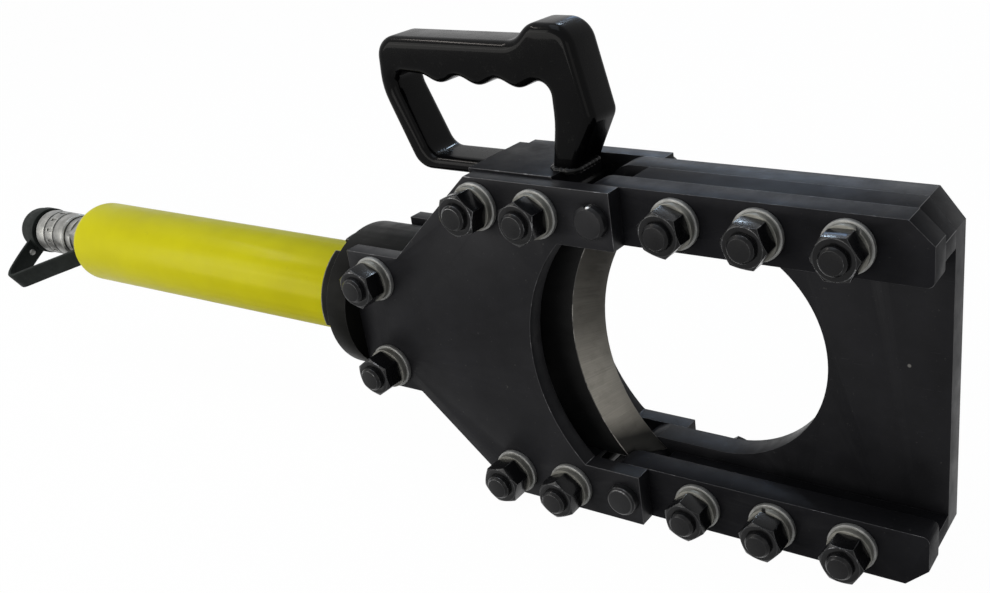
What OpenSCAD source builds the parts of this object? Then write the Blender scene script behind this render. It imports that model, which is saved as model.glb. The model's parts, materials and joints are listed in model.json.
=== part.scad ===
// Hand held hydraulic cable cutter with a guillotine head, a spring return cylinder and a D-handle.
// Inside the modules x runs along the cylinder towards the blades, y across the head and z up.
// The latch pin and the hinge pin stand at x = 0, and the cylinder's axis is y = 0, z = 0.

/* [Head] */
// Height of the cutting head
head_h = 220; // [214:1:236]
// Clear height between the horns, the thickest cable that goes in
gap_h = 150; // [144:1:152]
// Thickness of one fork plate
fork_t = 11; // [8:0.5:15]
// Thickness of the front rails
rail_t = 17; // [14:0.5:22]
// Thickness of the groove strips, the width of the groove the blade runs in
strip_t = 18; // [15:0.5:20]
// Thickness of the fixed blade
fixed_t = 17; // [14:0.5:22]
// From the pins to the right end of the head
frame_len = 191; // [186:1:215]
// From the pins to the centre of the fixed blade's round mouth
mouth_x = 44; // [38:1:50]
// Overlap of the front rails over the edges of the moving blade
groove_overlap = 8; // [6:0.5:8.5]
// Chamfer of the rails' outer corners along x
rail_chamfer_x = 13.5; // [6:0.5:18]
// Chamfer of the rails' outer corners along z
rail_chamfer_z = 12.5; // [6:0.5:18]
// Chamfer of the fixed blade's corners along x
fixed_chamfer_x = 14; // [6:0.5:18]
// Chamfer of the fixed blade's corners along z
fixed_chamfer_z = 17; // [6:0.5:22]
// Rounding of the front rails' inner end corners
rail_round = 4; // [1:0.5:8]

/* [Fork] */
// From the pins to the right ends of the horns
horn_len = 12; // [11:0.5:16]
// From the pins to the outer shoulders of the fork plates
shoulder_x = 89; // [86:1:96]
// From the pins to where the slanted edges meet the tongue
slant_x = 155; // [140:1:168]
// From the pins to the left end of the tongue
tongue_x = 198; // [194:1:206]
// Height of the tongue
tongue_h = 97; // [90:1:98]
// Radius of the fork plates' round mouth
fork_mouth_r = 110; // [104:1:116]
// From the pins to the deepest point of the fork plates' mouth
fork_mouth_depth = 56.5; // [50:0.5:60]

/* [Moving blade] */
// Travel of the moving blade
stroke = 155; // [150:1:158]
// Radius of the cutting edge
edge_r = 110; // [106:1:118]
// From the pins back to the middle of the cutting edge at rest
edge_back = 31; // [28:0.5:34]
// Width of the ground bevel seen from the front
bevel_w = 13; // [6:0.5:16]
// From the pins back to where the blade's long edges end
blade_edge_x = 62; // [56:1:70]
// Height of the blade's back end
blade_back_h = 56; // [40:1:90]
// Height of the tang in the rod's slot
tang_h = 26; // [20:1:27]
// Length of the tang
tang_l = 22; // [18:1:23]
// Diameter of the coupling pin
coupling_pin_d = 10; // [6:0.5:12]

/* [Cylinder] */
// Outer diameter of the barrel
barrel_d = 63.5; // [60:0.5:68]
// Bore of the barrel
bore_d = 50; // [49:0.5:52]
// Length of the barrel
barrel_len = 320.5; // [310:0.5:345]
// Thickness of the barrel's closed end
barrel_end_t = 35; // [26:1:40]
// Rounding of the barrel's closed end
barrel_round = 9; // [3:0.5:12]
// Diameter of the piston rod
rod_d = 34; // [32:0.5:34.5]
// Length of the piston
piston_len = 28; // [22:1:34]
// Diameter of the neck block
neck_d = 100; // [99:1:106]
// Length of the neck block's flats
neck_flat_len = 52; // [46:1:56]
// Length of the neck block's round shoulder
neck_round_len = 19; // [14:1:26]
// Diameter of the lock collar
collar_d = 86; // [78:1:94]
// Length of the lock collar
collar_len = 12; // [8:1:18]
// Wire of the return spring
spring_wire = 5; // [4.5:0.1:5.5]
// Turns of the return spring
spring_turns = 13; // [8:1:15]

/* [Fasteners] */
// Thread diameter of the bolts and nuts
bolt_d = 16; // [14:0.5:16.5]
// Diameter of the clearance holes for the bolts
bolt_hole_d = 17; // [16.7:0.1:18]
// Across the flats of the nuts and bolt heads
hex_af = 24; // [22:0.5:26]
// Height of a nut
nut_h = 13; // [10:0.5:15]
// Height of a bolt head
head_t = 10; // [8:0.5:12]
// Length of the bolt end past the nut
bolt_tip = 4; // [2:0.5:8]
// Outer diameter of the flat washers
washer_d = 30; // [28:0.5:32]
// Thickness of the flat washers
washer_t = 3; // [2:0.5:4]
// Outer diameter of the spring washers
lock_d = 27.4; // [25:0.1:28]
// Thickness of the spring washers
lock_t = 4; // [3:0.5:5]
// Diameter of the latch pin and the hinge pin
pin_d = 20; // [18:0.5:21]
// How far the pins stand out of the front
pin_out = 6; // [5.5:0.5:10]
// From the pins to the first frame bolt
frame_bolt_x = 46.5; // [42:0.5:50]
// Distance between the frame bolts
frame_bolt_pitch = 50; // [46:0.5:52]
// From the pins back to the right fork bolt
fork_bolt_x = 39; // [37:0.5:44]
// Distance between the two fork bolts
fork_bolt_pitch = 43; // [36:0.5:45]
// From the tongue's left end to the neck bolts
neck_bolt_in = 22; // [18:0.5:25]
// Distance between the two neck bolts
neck_bolt_pitch = 64; // [62:0.5:66]

/* [Handle] */
// Width of the handle across the head
handle_w = 30; // [24:1:40]
// Rounding of the handle's long edges
handle_edge = 4; // [2:0.5:4.5]
// Height of the handle's grip above the head
grip_top = 74.5; // [68:0.5:84]
// Thickness of the grip between the finger grooves
grip_t = 22.5; // [20:0.5:28]
// Height of the guard hump above the grip
hump_h = 11; // [6:0.5:16]
// Depth of the finger grooves
groove_d = 4.5; // [2:0.5:6]
// Distance between the finger grooves
finger_pitch = 29; // [27:0.5:30]
// Thickness of the handle's lower bar
bar_t = 9.5; // [9:0.5:13]
// How far the spacer block under the handle stands over the fork plates
block_over = 1.5; // [0.5:0.5:4]

/* [Coupler] */
// Diameter of the coupler sleeve
sleeve_d = 36; // [35.5:0.5:42]
// Length of the coupler sleeve
sleeve_len = 36.5; // [36:0.5:44]
// Travel of the coupler sleeve
sleeve_travel = 5.5; // [4:0.5:6]
// Diameter of the coupler's nose
nose_d = 28; // [27.4:0.1:28.4]
// Length of the nose that the dust cap covers
nose_len = 14; // [10:1:16]
// Across the flats of the nipple
nipple_af = 27; // [24:0.5:30]
// Length of the nipple's hexagon
nipple_hex_len = 8; // [7:1:16]
// Diameter of the dust cap
cap_d = 38; // [36:0.5:46]
// Length of the dust cap
cap_len = 19.5; // [17.5:0.5:30]
// Width of the cap's strap
strap_w = 16; // [8:0.5:20]
// Thickness of the cap's strap
strap_t = 2.6; // [2:0.1:3.5]

/* [Fits] */
// Radial clearance of shafts that run in bores
run_fit = 0.04; // [0.02:0.01:0.08]
// Radial clearance of pieces that are screwed or pressed together
seat_fit = 0.02; // [0.01:0.01:0.05]
// Clearance of the blade on each side in its groove
blade_fit = 0.15; // [0.1:0.05:0.3]
// Gap between the blade's long edges and the strips or fork spacers
edge_fit = 0.5; // [0.3:0.1:0.8]

/* [Hidden] */
$fn = 96;
eps = 0.5;

// Heights of the head
head_half = head_h / 2;
gap_half = gap_h / 2;
rail_h = head_half - gap_half;
rail_mid = (head_half + gap_half) / 2;
strip_z = gap_half + groove_overlap;
mouth_step = 0.1;
blade_half = strip_z - edge_fit;

// Layers of the head from front to back, with the blade's groove centred on the cylinder
y_strip = -strip_t / 2;
y_rail = y_strip - rail_t;
y_front = y_rail - fork_t;
y_fixed = strip_t / 2;
y_back = y_fixed + fixed_t;
y_rear = y_back + fork_t;
nut_stack = washer_t + lock_t + nut_h;

// Places along the cylinder
blade_t = strip_t - 2 * blade_fit;
edge_centre_x = edge_r - edge_back;
blade_back_x = slant_x - 43;
tang_end_x = blade_back_x + tang_l;
rod_front_x = -blade_back_x;
neck_x = -(tongue_x - neck_flat_len);
neck_shoulder_x = -tongue_x;
neck_left_x = neck_shoulder_x - neck_round_len;
collar_left_x = neck_left_x - collar_len;
barrel_in = neck_round_len - 0.5;
barrel_right_x = neck_left_x + barrel_in;
barrel_left_x = barrel_right_x - barrel_len;
chamber_x = barrel_left_x + barrel_end_t;
piston_gap = 2;
piston_left_x = chamber_x + piston_gap;
piston_right_x = piston_left_x + piston_len;
rod_stub_d = 20;
bush_d = 40;
bush_len = 36;
wiper_d = 44;
wiper_len = 8;
seal_groove_d = 44;
seal_len = 5;
backup_len = 1.6;
seal_x = piston_left_x + 11;
oring_r = 1.5;
oring_x = neck_left_x + 12;

// Spacer blocks between the fork plates
block_right_x = -(fork_bolt_x - 6);
block_left_x = -(shoulder_x + 4);
block_top = head_half + block_over;

// Coupler
port_d = 17;
port_depth = 15;
hex_left_x = barrel_left_x - nipple_hex_len;
nipple_neck_d = 21;
nipple_neck_len = 6;
body_right_x = hex_left_x - nipple_neck_len;
body_hex_len = 9;
flange_len = 6;
flange_d = sleeve_d - 3.6;
shank_d = 25;
land_x = body_right_x - body_hex_len - flange_len - 17;
sleeve_right_x = body_right_x - body_hex_len - sleeve_travel - 1.5;
sleeve_left_x = sleeve_right_x - sleeve_len;
snap_t = 1.6;
snap_x = sleeve_left_x - 0.4 - snap_t;
nose_left_x = snap_x - 0.9 - nose_len;
ball_r = 2.2;
ball_x = sleeve_left_x + 5;
ball_count = 6;
socket_d = 20.4;
lip_x = ball_x + 5;
lip_len = 4;
lip_d = 12.4;
valve_d = 15;
valve_end_x = land_x + 15;
poppet_clear = 0.2;
poppet_head_len = 4;
poppet_stem_len = 8;
poppet_stem_d = 8;
cap_right_x = snap_x - 0.9;
cap_left_x = cap_right_x - cap_len;
cap_fit = 0.15;
strap_ring_t = 3;
strap_ring_x = hex_left_x - nipple_neck_len / 2 - strap_ring_t / 2;
strap_tilt = 60;
strap_loose = 0.35;
strap_seat_fit = 0.03;
strap_bend_r = 5.5;
strap_root = [cap_right_x - 6, -cap_d / 2 + 2.5];
strap_bend = [cap_right_x + 5, -48];
strap_foot = [strap_ring_x + strap_ring_t / 2, -17.5];

// The box of the whole object, which sets the origin at the middle of its underside
x_min = cap_left_x;
x_max = frame_len;
y_min = y_front - nut_stack - bolt_tip;
y_max = max(y_rear + head_t, neck_d / 2);
place_shift = [-(x_min + x_max) / 2, -(y_min + y_max) / 2, head_half];

// Bolt places as [x, z]
frame_bolt_xs = [for (i = [0:2]) frame_bolt_x + i * frame_bolt_pitch];
frame_places = [for (s = [1, -1], x = frame_bolt_xs) [x, s * rail_mid]];
fork_places = concat(
    [for (s = [1, -1], i = [0, 1]) [-fork_bolt_x - i * fork_bolt_pitch, s * rail_mid]],
    [for (s = [1, -1]) [-tongue_x + neck_bolt_in, s * neck_bolt_pitch / 2]]
);
pin_places = [for (s = [1, -1]) [0, s * rail_mid]];

module place() {
    translate(place_shift) children();
}

// A 2D outline in x and z, extruded along y from y0
module slab(y0, t) {
    translate([0, y0 + t, 0]) rotate([90, 0, 0]) linear_extrude(t) children();
}

// A round bar along y
module cross_bar(x, z, y0, y1, d) {
    translate([x, y0, z]) rotate([-90, 0, 0]) cylinder(h = y1 - y0, d = d);
}

// A round bar or cone along x
module axial(x0, x1, d1, d2) {
    translate([x0, 0, 0]) rotate([0, 90, 0]) cylinder(h = x1 - x0, d1 = d1, d2 = d2);
}

module bar(x0, x1, d) {
    axial(x0, x1, d, d);
}

module tube(x0, x1, d_out, d_in) {
    difference() {
        bar(x0, x1, d_out);
        bar(x0 - eps, x1 + eps, d_in);
    }
}

module holes(places, y0, y1, d) {
    for (p = places) cross_bar(p[0], p[1], y0 - eps, y1 + eps, d);
}

// Fork plates
module fork_outline() {
    difference() {
        polygon([
            [-tongue_x, tongue_h / 2], [-slant_x, tongue_h / 2], [-shoulder_x, head_half],
            [horn_len, head_half], [horn_len, -head_half], [-shoulder_x, -head_half],
            [-slant_x, -tongue_h / 2], [-tongue_x, -tongue_h / 2]
        ]);
        intersection() {
            translate([fork_mouth_r - fork_mouth_depth, 0]) circle(r = fork_mouth_r);
            translate([-fork_mouth_r, -gap_half]) square([fork_mouth_r + horn_len + 1, gap_h]);
        }
    }
}

module fork_plate(y0) {
    difference() {
        slab(y0, fork_t) fork_outline();
        holes(fork_places, y0, y0 + fork_t, bolt_hole_d);
        holes(pin_places, y0, y0 + fork_t, pin_d + 2 * run_fit);
    }
}

module front_fork_plate() {
    color([0.18, 0.18, 0.19]) place() fork_plate(y_front);
}

module back_fork_plate() {
    color([0.18, 0.18, 0.19]) place() fork_plate(y_back);
}

// A block that keeps the fork plates apart above or below the moving blade
module fork_spacer(z_out) {
    difference() {
        slab(y_rail, y_back - y_rail) translate([block_left_x, strip_z])
            square([block_right_x - block_left_x, z_out - strip_z]);
        holes(fork_places, y_rail, y_back, bolt_hole_d);
    }
}

module top_fork_spacer() {
    color([0.16, 0.16, 0.17]) place() fork_spacer(block_top);
}

module bottom_fork_spacer() {
    color([0.16, 0.16, 0.17]) place() mirror([0, 0, 1]) fork_spacer(head_half);
}

// Cutting frame
module fixed_body() {
    y_mouth = y_fixed - eps;
    t_mouth = fixed_t + 2 * eps;
    difference() {
        slab(y_fixed, fixed_t) polygon([
            [0, head_half], [frame_len - fixed_chamfer_x, head_half],
            [frame_len, head_half - fixed_chamfer_z], [frame_len, -head_half + fixed_chamfer_z],
            [frame_len - fixed_chamfer_x, -head_half], [0, -head_half],
            [0, -gap_half + mouth_step], [mouth_x - 3, -gap_half + mouth_step],
            [mouth_x - 3, gap_half - mouth_step], [0, gap_half - mouth_step]
        ]);
        cross_bar(mouth_x, 0, y_mouth, y_mouth + t_mouth, gap_h);
    }
    holes(pin_places, y_fixed + eps, y_back - eps, rail_h);
}

module fixed_blade() {
    color([0.18, 0.18, 0.19]) place() difference() {
        fixed_body();
        holes(frame_places, y_fixed, y_back, bolt_hole_d);
        holes(pin_places, y_fixed, y_back, pin_d + 2 * run_fit);
    }
}

module rail_outline() {
    union() {
        polygon([
            [0, gap_half], [frame_len - rail_round, gap_half],
            [frame_len, gap_half + rail_round], [frame_len, head_half - rail_chamfer_z],
            [frame_len - rail_chamfer_x, head_half], [0, head_half]
        ]);
        translate([frame_len - rail_round, gap_half + rail_round]) circle(r = rail_round);
        translate([0, rail_mid]) circle(d = rail_h);
    }
}

module front_rail() {
    difference() {
        slab(y_rail, rail_t) rail_outline();
        holes(frame_places, y_rail, y_strip, bolt_hole_d);
        holes(pin_places, y_rail, y_strip, pin_d + 2 * run_fit);
    }
}

module top_front_rail() {
    color([0.19, 0.19, 0.2]) place() front_rail();
}

module bottom_front_rail() {
    color([0.19, 0.19, 0.2]) place() mirror([0, 0, 1]) front_rail();
}

module groove_strip() {
    difference() {
        slab(y_strip, strip_t) polygon([
            [pin_d / 2 + 1, strip_z], [frame_len, strip_z], [frame_len, head_half - fixed_chamfer_z],
            [frame_len - fixed_chamfer_x, head_half], [pin_d / 2 + 1, head_half]
        ]);
        holes(frame_places, y_strip, y_fixed, bolt_hole_d);
    }
}

module top_groove_strip() {
    color([0.17, 0.17, 0.18]) place() groove_strip();
}

module bottom_groove_strip() {
    color([0.17, 0.17, 0.18]) place() mirror([0, 0, 1]) groove_strip();
}

// Moving blade: the cutting edge lies on the back face, and a cone about y grinds the bevel
module blade_outline() {
    polygon([
        [-tang_end_x, tang_h / 2], [-blade_back_x, tang_h / 2],
        [-blade_back_x, blade_back_h / 2], [-blade_edge_x, blade_half],
        [edge_centre_x, blade_half], [edge_centre_x, -blade_half],
        [-blade_edge_x, -blade_half], [-blade_back_x, -blade_back_h / 2],
        [-blade_back_x, -tang_h / 2], [-tang_end_x, -tang_h / 2]
    ]);
}

module moving_blade() {
    slope = bevel_w / blade_t;
    color([0.55, 0.54, 0.52]) place() difference() {
        slab(-blade_t / 2, blade_t) blade_outline();
        translate([edge_centre_x, -blade_t / 2 - eps, 0]) rotate([-90, 0, 0])
            cylinder(h = blade_t + 2 * eps, r1 = edge_r + bevel_w + slope * eps, r2 = edge_r - slope * eps);
        cross_bar(-blade_back_x - tang_l / 2, 0, -strip_t, strip_t, coupling_pin_d + 2 * run_fit);
    }
}

// Pins of the cutting frame
detent_r = 2.5;
detent_sink = 0;
pull_head_d = 28;
pull_head_t = 8;
ring_t = 1.6;
ring_groove = 1.2;
pin_tail = 4;

module pin_shank(z, y1) {
    chamfer = 1.5;
    cross_bar(0, z, y_front - pin_out + chamfer, y1, pin_d);
    translate([0, y_front - pin_out, z]) rotate([-90, 0, 0])
        cylinder(h = chamfer, d1 = pin_d - 2 * chamfer, d2 = pin_d);
}

module latch_pin() {
    ball_y = y_front - pin_out / 2;
    color([0.2, 0.2, 0.21]) place() difference() {
        union() {
            pin_shank(rail_mid, y_rear);
            cross_bar(0, rail_mid, y_rear, y_rear + pull_head_t, pull_head_d);
        }
        translate([0, ball_y, rail_mid + pin_d / 2 - 2 * detent_r])
            cylinder(h = 3 * detent_r, r = detent_r + run_fit);
    }
}

module detent_ball() {
    color([0.7, 0.7, 0.7]) place()
        translate([0, y_front - pin_out / 2, rail_mid + pin_d / 2 - detent_r + detent_sink])
            sphere(r = detent_r);
}

module hinge_pin() {
    color([0.2, 0.2, 0.21]) place() difference() {
        pin_shank(-rail_mid, y_rear + pin_tail);
        difference() {
            cross_bar(0, -rail_mid, y_rear, y_rear + ring_t, pin_d + 2);
            cross_bar(0, -rail_mid, y_rear - eps, y_rear + ring_t + eps, pin_d - 2 * ring_groove);
        }
    }
}

module hinge_pin_ring() {
    color([0.3, 0.3, 0.3]) place() difference() {
        cross_bar(0, -rail_mid, y_rear, y_rear + ring_t, pin_d + 6);
        cross_bar(0, -rail_mid, y_rear - eps, y_rear + ring_t + eps, pin_d - 2 * ring_groove + 2 * seat_fit);
        translate([-3, y_rear - eps, -rail_mid - pin_d]) cube([6, ring_t + 2 * eps, pin_d]);
    }
}

// Fasteners, turned by a different angle at each place as they are when tightened
module hex_body(h, af) {
    corner_r = af / sqrt(3);
    bevel = 1.2;
    intersection() {
        cylinder(h = h, r = corner_r, $fn = 6);
        rotate_extrude() polygon([
            [0, 0], [af / 2 - 0.4, 0], [corner_r + 0.1, bevel], [corner_r + 0.1, h - bevel],
            [af / 2 - 0.4, h], [0, h]
        ]);
    }
}

module bolt(p, y_tip, y_under) {
    chamfer = 1.5;
    translate([p[0], 0, p[1]]) rotate([-90, 0, 0]) {
        translate([0, 0, y_tip + chamfer]) cylinder(h = y_under - y_tip - chamfer, d = bolt_d);
        translate([0, 0, y_tip]) cylinder(h = chamfer, d1 = bolt_d - 2 * chamfer, d2 = bolt_d);
        translate([0, 0, y_under]) rotate([0, 0, 25 * p[0]]) hex_body(head_t, hex_af);
    }
}

module fork_bolts() {
    color([0.16, 0.16, 0.17]) place()
        for (p = fork_places) bolt(p, y_front - nut_stack - bolt_tip, y_rear);
}

module frame_bolts() {
    color([0.16, 0.16, 0.17]) place()
        for (p = frame_places) bolt(p, y_rail - nut_stack - bolt_tip, y_back);
}

// Runs its child at every bolt, with the child's z pointing out of the front face
module at_each_bolt(lift) {
    for (p = fork_places) translate([p[0], y_front - lift, p[1]]) rotate([90, 0, 0])
        rotate([0, 0, 17 * p[0] + p[1]]) children();
    for (p = frame_places) translate([p[0], y_rail - lift, p[1]]) rotate([90, 0, 0])
        rotate([0, 0, 17 * p[0] + p[1]]) children();
}

module flat_washers() {
    color([0.72, 0.72, 0.7]) place() at_each_bolt(0) difference() {
        cylinder(h = washer_t, d = washer_d);
        translate([0, 0, -eps]) cylinder(h = washer_t + 2 * eps, d = bolt_hole_d);
    }
}

module spring_washers() {
    split = 2.2;
    color([0.3, 0.3, 0.25]) place() at_each_bolt(washer_t) difference() {
        cylinder(h = lock_t, d = lock_d);
        translate([0, 0, -eps]) cylinder(h = lock_t + 2 * eps, d = bolt_d + 0.6);
        rotate([25, 0, 0]) translate([0, -split / 2, -lock_t]) cube([lock_d, split, 4 * lock_t]);
    }
}

module hex_nuts() {
    color([0.1, 0.1, 0.11]) place() at_each_bolt(washer_t + lock_t) difference() {
        hex_body(nut_h, hex_af);
        translate([0, 0, -eps]) cylinder(h = nut_h + 2 * eps, d = bolt_d + 2 * run_fit);
    }
}

// Cylinder
module neck_block() {
    chamfer = 2.5;
    color([0.22, 0.22, 0.2]) place() difference() {
        union() {
            axial(neck_left_x, neck_left_x + chamfer, neck_d - 2 * chamfer, neck_d);
            bar(neck_left_x + chamfer, neck_shoulder_x, neck_d);
            intersection() {
                bar(neck_shoulder_x, neck_x, neck_d);
                translate([neck_shoulder_x, y_rail, -neck_d]) cube([neck_flat_len, y_back - y_rail, 2 * neck_d]);
            }
        }
        bar(neck_left_x - eps, barrel_right_x, barrel_d + 2 * seat_fit);
        bar(barrel_right_x - eps, barrel_right_x + bush_len, bush_d + 2 * seat_fit);
        bar(neck_shoulder_x, neck_x + eps, rod_d + 1);
        bar(neck_x - wiper_len, neck_x + eps, wiper_d + 2 * seat_fit);
        ring_cut(oring_x, barrel_d / 2 + oring_r - seat_fit, oring_r + seat_fit);
        holes(fork_places, y_rail, y_back, bolt_hole_d);
    }
}

// A round section groove or ring about the cylinder's axis
module ring_cut(x, r_mid, r_section) {
    translate([x, 0, 0]) rotate([0, 90, 0]) rotate_extrude() translate([r_mid, 0]) circle(r = r_section, $fn = 48);
}

module barrel_oring() {
    color([0.05, 0.05, 0.05]) place() ring_cut(oring_x, barrel_d / 2 + oring_r + seat_fit, oring_r - 5 * seat_fit);
}

module lock_collar() {
    chamfer = 2;
    slot_w = 11;
    slot_depth = 5;
    color([0.22, 0.22, 0.2]) place() difference() {
        union() {
            axial(collar_left_x, collar_left_x + chamfer, collar_d - 2 * chamfer, collar_d);
            bar(collar_left_x + chamfer, neck_left_x, collar_d);
        }
        bar(collar_left_x - eps, neck_left_x + eps, barrel_d + 2 * seat_fit);
        for (a = [20:90:290]) rotate([a, 0, 0])
            translate([collar_left_x - eps, -slot_w / 2, collar_d / 2 - slot_depth])
                cube([collar_len + 2 * eps, slot_w, 2 * slot_depth]);
    }
}

module barrel() {
    r = barrel_d / 2;
    color([0.78, 0.76, 0.08]) place() difference() {
        translate([barrel_left_x, 0, 0]) rotate([0, 90, 0]) rotate_extrude() union() {
            square([r - barrel_round, barrel_round]);
            translate([0, barrel_round]) square([r, barrel_len - barrel_round]);
            translate([r - barrel_round, barrel_round]) circle(r = barrel_round);
        }
        bar(chamber_x, barrel_right_x + eps, bore_d);
        bar(barrel_left_x - eps, barrel_left_x + port_depth + 1, port_d + 2 * seat_fit);
        bar(barrel_left_x, chamber_x + eps, 8);
    }
}

module rod_bush() {
    color([0.75, 0.6, 0.3]) place()
        tube(barrel_right_x, barrel_right_x + bush_len, bush_d, rod_d + 2 * run_fit);
}

module rod_wiper() {
    color([0.12, 0.12, 0.12]) place() tube(neck_x - wiper_len, neck_x, wiper_d, rod_d + 2 * run_fit);
}

module piston() {
    color([0.6, 0.6, 0.6]) place() difference() {
        bar(piston_left_x, piston_right_x, bore_d - 2 * run_fit);
        bar(piston_left_x - eps, piston_right_x + eps, rod_stub_d + 2 * seat_fit);
        tube(seal_x, seal_x + seal_len + backup_len, bore_d + 2, seal_groove_d);
    }
}

module piston_seal() {
    color([0.1, 0.1, 0.1]) place()
        tube(seal_x, seal_x + seal_len, bore_d - 2 * run_fit, seal_groove_d + 2 * seat_fit);
}

module backup_ring() {
    color([0.9, 0.88, 0.8]) place()
        tube(seal_x + seal_len, seal_x + seal_len + backup_len, bore_d - 2 * run_fit, seal_groove_d + 2 * seat_fit);
}

module piston_rod() {
    color([0.75, 0.75, 0.76]) place() difference() {
        union() {
            bar(piston_left_x, piston_right_x, rod_stub_d);
            bar(piston_right_x, rod_front_x, rod_d);
        }
        translate([rod_front_x - tang_l - 2, -blade_t / 2 - blade_fit, -rod_d])
            cube([tang_l + 2 + eps, blade_t + 2 * blade_fit, 2 * rod_d]);
        cross_bar(rod_front_x - tang_l / 2, 0, -rod_d, rod_d, coupling_pin_d + 2 * run_fit);
    }
}

module coupling_pin() {
    half = sqrt(pow(rod_d / 2, 2) - pow(coupling_pin_d / 2, 2)) - 0.5;
    color([0.6, 0.6, 0.6]) place() cross_bar(rod_front_x - tang_l / 2, 0, -half, half, coupling_pin_d);
}

// A coil spring along x as one swept tube, with its end turns wound close
spring_steps = 8;
spring_sides = 6;
end_gap = 0.7;

function coil_x(u, turns, length, wire) =
    let (close = wire + end_gap, open = (length - wire - 2 * close) / (turns - 2))
    wire / 2 + (u < 1 ? u * close
        : u > turns - 1 ? length - wire - (turns - u) * close
        : close + (u - 1) * open);

function coil_centres(turns, length, r_mid, wire) = [
    for (i = [0:turns * spring_steps])
        let (u = i / spring_steps, a = 360 * u)
        [coil_x(u, turns, length, wire), r_mid * cos(a), r_mid * sin(a)]
];

function least_gap(centres, wire) = min([
    for (i = [0:len(centres) - 1 - spring_steps / 2], j = [i + spring_steps / 2:len(centres) - 1])
        norm(centres[i] - centres[j])
]) - wire;

module coil(x0, length, r_mid, wire, turns) {
    centres = coil_centres(turns, length, r_mid, wire);
    n = len(centres);
    m = spring_sides;
    points = [
        for (i = [0:n - 1], k = [0:m - 1])
            let (c = centres[i], a = 360 * i / spring_steps, q = 360 * k / m, r = r_mid + wire / 2 * cos(q))
            [x0 + c[0] + wire / 2 * sin(q), r * cos(a), r * sin(a)]
    ];
    side_a = [for (i = [0:n - 2], k = [0:m - 1]) [i * m + k, i * m + (k + 1) % m, (i + 1) * m + k]];
    side_b = [for (i = [0:n - 2], k = [0:m - 1]) [i * m + (k + 1) % m, (i + 1) * m + (k + 1) % m, (i + 1) * m + k]];
    ends = [
        for (k = [1:m - 2]) [0, k + 1, k],
        for (k = [1:m - 2]) [(n - 1) * m, (n - 1) * m + k, (n - 1) * m + k + 1]
    ];
    polyhedron(points = points, faces = concat(side_a, side_b, ends), convexity = 8);
}

return_spring_len = barrel_right_x - piston_right_x;
return_spring_r = (rod_d / 2 + bore_d / 2) / 2;
sleeve_spring_wire = 1.5;
sleeve_spring_turns = 5;
sleeve_spring_len = body_right_x - body_hex_len - flange_len - land_x;
sleeve_spring_r = (nose_d + flange_d + 0.8) / 4;
poppet_spring_wire = 1;
poppet_spring_turns = 7;
poppet_right_x = lip_x + lip_len + poppet_head_len;
poppet_spring_len = valve_end_x - poppet_right_x;

module return_spring() {
    color([0.35, 0.35, 0.36]) place()
        coil(piston_right_x, return_spring_len, return_spring_r, spring_wire, spring_turns);
}

echo(return_spring_gap = least_gap(
    coil_centres(spring_turns, return_spring_len, return_spring_r, spring_wire), spring_wire));

// Handle: one outline of lines and arcs, drawn in x and z from the head's top edge
function unit(v) = v / norm(v);

// The corner points of an outline as [x, z, r], with each corner of radius r turned into an arc
function corner_arc(p, q, s, r) =
    let (
        a = unit(p - q), b = unit(s - q),
        half = acos(a * b) / 2,
        run = r / tan(half),
        centre = q + unit(a + b) * (r / sin(half)),
        start = q + a * run - centre,
        finish = q + b * run - centre,
        turn = (start[0] * finish[1] - start[1] * finish[0] > 0 ? 1 : -1) * (180 - 2 * half),
        count = max(2, ceil(abs(turn) / 15))
    )
    [for (i = [0:count]) let (t = turn * i / count)
        centre + [start[0] * cos(t) - start[1] * sin(t), start[0] * sin(t) + start[1] * cos(t)]];

function rounded(corners) = [
    for (i = [0:len(corners) - 1])
        let (
            n = len(corners),
            c = corners[i],
            q = [c[0], c[1]],
            p = [corners[(i + n - 1) % n][0], corners[(i + n - 1) % n][1]],
            s = [corners[(i + 1) % n][0], corners[(i + 1) % n][1]]
        )
        each (c[2] > 0 ? corner_arc(p, q, s, c[2]) : [q])
];

// Moves a clockwise outline inwards by d
function inset(path, d) = [
    for (i = [0:len(path) - 1])
        let (
            n = len(path),
            a = unit(path[i] - path[(i + n - 1) % n]),
            b = unit(path[(i + 1) % n] - path[i]),
            na = [a[1], -a[0]],
            nb = [b[1], -b[0]]
        )
        path[i] + d * (na + nb) / (1 + na * nb)
];

grip_z = head_half + grip_top;
under_z = grip_z - grip_t;
bar_top = block_top;
finger_x = -44.9;
finger_count = 3;
finger_wave = [
    for (i = [0:8 * finger_count])
        let (x = finger_x - i * finger_pitch / 8)
        [x, under_z - groove_d / 2 * (1 - cos(360 * i / 8)), 0]
];
leg_foot_x = -41;
handle_corners = concat(
    [
        [block_left_x, bar_top - bar_t, 0], [-143, bar_top - bar_t, 14], [-164, 152, 40],
        [-161.5, grip_z, 14], [-59, grip_z, 16], [-47, grip_z + hump_h, 14],
        [-20, grip_z + hump_h, 15], [-8, 142, 9], [-24, bar_top, 0],
        [leg_foot_x, bar_top, 0], [-36.5, 140, 60], [-36.5, under_z, 8]
    ],
    finger_wave,
    [[-151, under_z + 1, 6], [-150, 152, 12], [-133, bar_top, 10], [block_left_x, bar_top, 0]]
);

module handle() {
    path = rounded(handle_corners);
    half = handle_w / 2;
    layers = 5;
    depths = [for (i = [0:layers]) handle_edge * (1 - cos(90 * i / layers))];
    insets = [for (i = [0:layers]) i == layers ? 0 : handle_edge * (1 - sin(90 * (i + 0.5) / layers))];
    color([0.03, 0.03, 0.03]) place() for (i = [0:layers])
        slab(-half + depths[i], handle_w - 2 * depths[i]) polygon(inset(path, insets[i]));
}

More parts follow.
